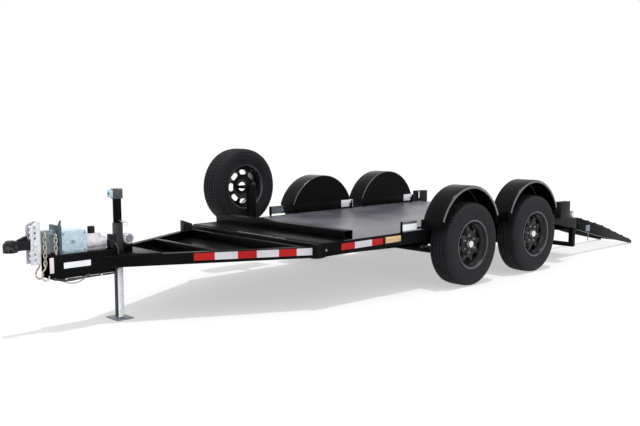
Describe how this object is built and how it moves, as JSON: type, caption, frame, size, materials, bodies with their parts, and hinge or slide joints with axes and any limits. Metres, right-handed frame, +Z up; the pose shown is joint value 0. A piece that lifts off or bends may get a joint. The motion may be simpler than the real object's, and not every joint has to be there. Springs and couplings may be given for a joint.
{
  "type": "tandem axle trailer",
  "caption": "Low flat deck equipment trailer with tandem sprung axles, round fenders, twin fold-down ramps, upright spare wheel, drop-leg jack and a height-adjustable ball coupler.",
  "frame": {"origin": "bottom centre of the whole trailer's box, on the ground under it", "axes": "+X forward to the ball coupler, +Y to the left, +Z up"},
  "size_m": [6.74, 2.096, 1.101],
  "materials": {
    "frame_black": "satin black powder coat",
    "deck_black": "satin dark deck plate",
    "wheel_black": "gloss black",
    "tyre": "matt",
    "zinc": "zinc plated",
    "bright_steel": "bright plated",
    "hub_metal": "machined and painted",
    "coupler_black": "satin black",
    "black_plastic": "matt",
    "lamp_red": "gloss",
    "spring_steel": "dark oiled steel"
  },
  "bodies": {
    "frame": {"deck_plate": "deck_black", "side_rail_left": "frame_black", "side_rail_right": "frame_black", "cross_members": "frame_black", "end_members": "frame_black", "stop_rail": "frame_black", "tongue_rail_left": "frame_black", "tongue_rail_right": "frame_black", "tongue_ties": "frame_black", "tongue_plate": "frame_black", "nose": "frame_black", "jack_housing": "frame_black", "jack_tube": "frame_black", "jack_head": "bright_steel", "actuator": "zinc", "master_cylinder": "zinc", "reservoir_cap": "black_plastic", "coupler_channel": "zinc", "coupler": "coupler_black", "coupler_latch": "coupler_black", "safety_chain_left": "zinc", "safety_chain_right": "zinc", "fender_braces_left": "frame_black", "fender_braces_right": "frame_black", "side_plates": "bright_steel", "axle_front": "frame_black", "axle_rear": "frame_black", "leaf_springs": "spring_steel", "spring_hangers": "frame_black", "spare_tyre": "tyre", "spare_wheel": "wheel_black", "spare_mount": "frame_black", "tail_lamps": "lamp_red", "lamp_brackets": "frame_black", "rear_guard": "frame_black", "ramp_hinge_left": "frame_black", "ramp_hinge_right": "frame_black", "fender_front_left": "frame_black", "fender_front_right": "frame_black", "fender_rear_left": "frame_black", "fender_rear_right": "frame_black"},
    "drop_leg": {"jack_leg": "zinc"},
    "left_ramp": {"ramp_left": "frame_black"},
    "right_ramp": {"ramp_right": "frame_black"},
    "front_left_wheel": {"tyre_front_left": "tyre", "wheel_front_left": "wheel_black", "hub_front_left": "hub_metal"},
    "front_right_wheel": {"tyre_front_right": "tyre", "wheel_front_right": "wheel_black", "hub_front_right": "hub_metal"},
    "rear_left_wheel": {"tyre_rear_left": "tyre", "wheel_rear_left": "wheel_black", "hub_rear_left": "hub_metal"},
    "rear_right_wheel": {"tyre_rear_right": "tyre", "wheel_rear_right": "wheel_black", "hub_rear_right": "hub_metal"}
  },
  "joints": [
    {"name": "drop_leg_slide", "type": "slide", "parent": "frame", "child": "drop_leg", "axis": [0, 0, 1], "range_m": [0, 0.2]},
    {"name": "left_ramp_hinge", "type": "hinge", "parent": "frame", "child": "left_ramp", "pos_m": [-2.18, 0.614, 0.362], "axis": [0, 1, 0], "range_deg": [0, 105]},
    {"name": "right_ramp_hinge", "type": "hinge", "parent": "frame", "child": "right_ramp", "pos_m": [-2.18, -0.526, 0.362], "axis": [0, 1, 0], "range_deg": [0, 105]},
    {"name": "front_left_axle", "type": "hinge", "parent": "frame", "child": "front_left_wheel", "pos_m": [-0.112, 0.946, 0.344], "axis": [0, 1, 0], "continuous": true},
    {"name": "front_right_axle", "type": "hinge", "parent": "frame", "child": "front_right_wheel", "pos_m": [-0.112, -0.858, 0.344], "axis": [0, 1, 0], "continuous": true},
    {"name": "rear_left_axle", "type": "hinge", "parent": "frame", "child": "rear_left_wheel", "pos_m": [-1.048, 0.946, 0.344], "axis": [0, 1, 0], "continuous": true},
    {"name": "rear_right_axle", "type": "hinge", "parent": "frame", "child": "rear_right_wheel", "pos_m": [-1.048, -0.858, 0.344], "axis": [0, 1, 0], "continuous": true}
  ]
}
